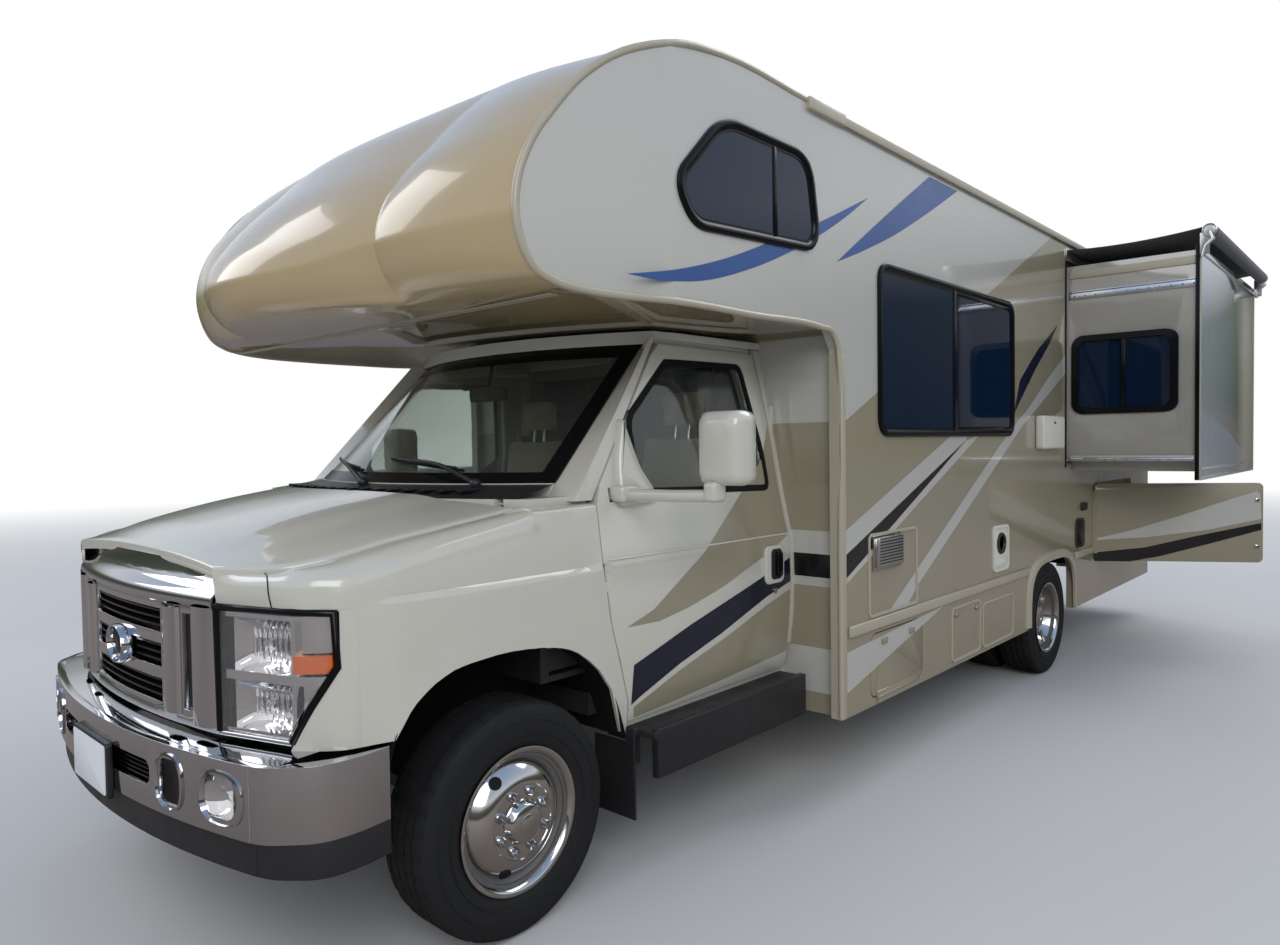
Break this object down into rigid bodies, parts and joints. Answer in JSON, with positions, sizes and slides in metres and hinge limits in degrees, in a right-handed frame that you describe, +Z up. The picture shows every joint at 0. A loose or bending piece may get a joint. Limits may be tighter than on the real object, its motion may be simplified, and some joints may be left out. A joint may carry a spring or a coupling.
{
  "type": "motorhome",
  "caption": "Cab-over motorhome on a van chassis with twin rear wheels, a side slide-out room with its topper, and luggage hatches; steers, rolls and opens.",
  "frame": {"origin": "bottom centre of the bounding box, on the ground", "axes": "+X to the vehicle's left, +Y to its rear, +Z up"},
  "size_m": [3.6062, 7.87, 3.2371],
  "materials": {
    "cab_paint": "gloss off-white",
    "coach_paint": "gloss tan with pale and dark bands",
    "cap_gelcoat": "gloss gold-beige",
    "roof_skin": "white membrane",
    "chrome": "polished",
    "wheel_steel": "polished stainless liners",
    "tyre": "matt",
    "black_plastic": "fine grain",
    "frame_black": "satin",
    "cast_grey": "rough",
    "lamp_lens": "clear",
    "dark_glass": "tinted",
    "dash_plastic": "grained",
    "seat_fabric": "woven",
    "inner_board": "plain board",
    "aluminium": "satin",
    "awning_white": "satin",
    "topper_fabric": "woven"
  },
  "bodies": {
    "vehicle": {"chassis_frame": "frame_black", "floor_joists": "frame_black", "engine": "cast_grey", "tanks": "frame_black", "front_axle": "frame_black", "rear_axle": "frame_black", "hitch_receiver": "frame_black", "front_fenders": "cab_paint", "cab_shell": "cab_paint", "windscreen": "dark_glass", "dashboard": "dash_plastic", "cab_seats": "seat_fabric", "front_bumper": "chrome", "front_valance": "black_plastic", "grille": "chrome", "lamps": "lamp_lens", "running_boards": "black_plastic", "coach_side_left": "coach_paint", "coach_side_right": "coach_paint", "coach_rear_wall": "coach_paint", "coach_front_wall": "coach_paint", "coach_floor": "inner_board", "coach_roof": "roof_skin", "front_cap": "cap_gelcoat", "cabover_side_left": "coach_paint", "cabover_side_right": "coach_paint", "cabover_floor": "cap_gelcoat", "bay_liners": "inner_board", "window_frames": "black_plastic", "window_glass": "dark_glass", "roof_units": "roof_skin", "patio_awning": "awning_white", "rear_ladder": "aluminium", "rear_bumper": "cap_gelcoat", "topper_fabric": "topper_fabric"},
    "knuckle_left": {"knuckle_left": "cast_grey"},
    "front_wheel_left": {"front_tyre_left": "tyre", "front_rim_left": "wheel_steel"},
    "rear_wheels_left": {"rear_tyres_left": "tyre", "rear_rims_left": "wheel_steel"},
    "cab_door_left": {"cab_door_left": "cab_paint", "cab_glass_left": "dark_glass"},
    "luggage_door_left": {"luggage_door_left": "coach_paint"},
    "knuckle_right": {"knuckle_right": "cast_grey"},
    "front_wheel_right": {"front_tyre_right": "tyre", "front_rim_right": "wheel_steel"},
    "rear_wheels_right": {"rear_tyres_right": "tyre", "rear_rims_right": "wheel_steel"},
    "cab_door_right": {"cab_door_right": "cab_paint", "cab_glass_right": "dark_glass"},
    "luggage_door_right": {"luggage_door_right": "coach_paint"},
    "hood": {"hood": "cab_paint"},
    "entry_door": {"entry_door": "coach_paint", "entry_glass": "dark_glass"},
    "slide_out": {"slide_out": "coach_paint", "slide_window": "dark_glass", "topper_roller": "black_plastic"},
    "rear_bay_door": {"rear_bay_door": "coach_paint"}
  },
  "joints": [
    {"name": "steer_left", "type": "hinge", "parent": "vehicle", "child": "knuckle_left", "pos_m": [0.3104, -3.05, 0.34], "axis": [0, 0, 1], "range_deg": [-33, 33]},
    {"name": "front_spin_left", "type": "hinge", "parent": "knuckle_left", "child": "front_wheel_left", "pos_m": [0.4719, -3.05, 0.367], "axis": [1, 0, 0], "continuous": true},
    {"name": "rear_spin_left", "type": "hinge", "parent": "vehicle", "child": "rear_wheels_left", "pos_m": [0.5784, 1.22, 0.367], "axis": [1, 0, 0], "continuous": true},
    {"name": "cab_door_left", "type": "hinge", "parent": "vehicle", "child": "cab_door_left", "pos_m": [0.5904, -2.672, 1.1], "axis": [0, 0, -1], "range_deg": [0, 65]},
    {"name": "luggage_door_left", "type": "hinge", "parent": "vehicle", "child": "luggage_door_left", "pos_m": [0.8532, -1.015, 0.394], "axis": [0, 1, 0], "range_deg": [0, 100]},
    {"name": "steer_right", "type": "hinge", "parent": "vehicle", "child": "knuckle_right", "pos_m": [-1.1296, -3.05, 0.34], "axis": [0, 0, 1], "range_deg": [-33, 33]},
    {"name": "front_spin_right", "type": "hinge", "parent": "knuckle_right", "child": "front_wheel_right", "pos_m": [-1.2911, -3.05, 0.367], "axis": [1, 0, 0], "continuous": true},
    {"name": "rear_spin_right", "type": "hinge", "parent": "vehicle", "child": "rear_wheels_right", "pos_m": [-1.3976, 1.22, 0.367], "axis": [1, 0, 0], "continuous": true},
    {"name": "cab_door_right", "type": "hinge", "parent": "vehicle", "child": "cab_door_right", "pos_m": [-1.4096, -2.672, 1.1], "axis": [0, 0, 1], "range_deg": [0, 65]},
    {"name": "luggage_door_right", "type": "hinge", "parent": "vehicle", "child": "luggage_door_right", "pos_m": [-1.6724, 2.69, 0.394], "axis": [0, -1, 0], "range_deg": [0, 100]},
    {"name": "hood", "type": "hinge", "parent": "vehicle", "child": "hood", "pos_m": [-0.4096, -2.95, 1.345], "axis": [-1, 0, 0], "range_deg": [0, 50]},
    {"name": "entry_door", "type": "hinge", "parent": "vehicle", "child": "entry_door", "pos_m": [-1.6724, -1.102, 1.48], "axis": [0, 0, 1], "range_deg": [0, 110]},
    {"name": "rear_bay_door", "type": "hinge", "parent": "vehicle", "child": "rear_bay_door", "pos_m": [0.8532, 2.135, 0.92], "axis": [0, 0, -1], "range_deg": [-60, 25]},
    {"name": "slide_out", "type": "slide", "parent": "vehicle", "child": "slide_out", "axis": [1, 0, 0], "range_m": [-0.735, 0], "deforming": ["topper_fabric"]}
  ],
  "couplings": [
    {"joint": "steer_right", "follows": "steer_left", "ratio": 1}
  ]
}
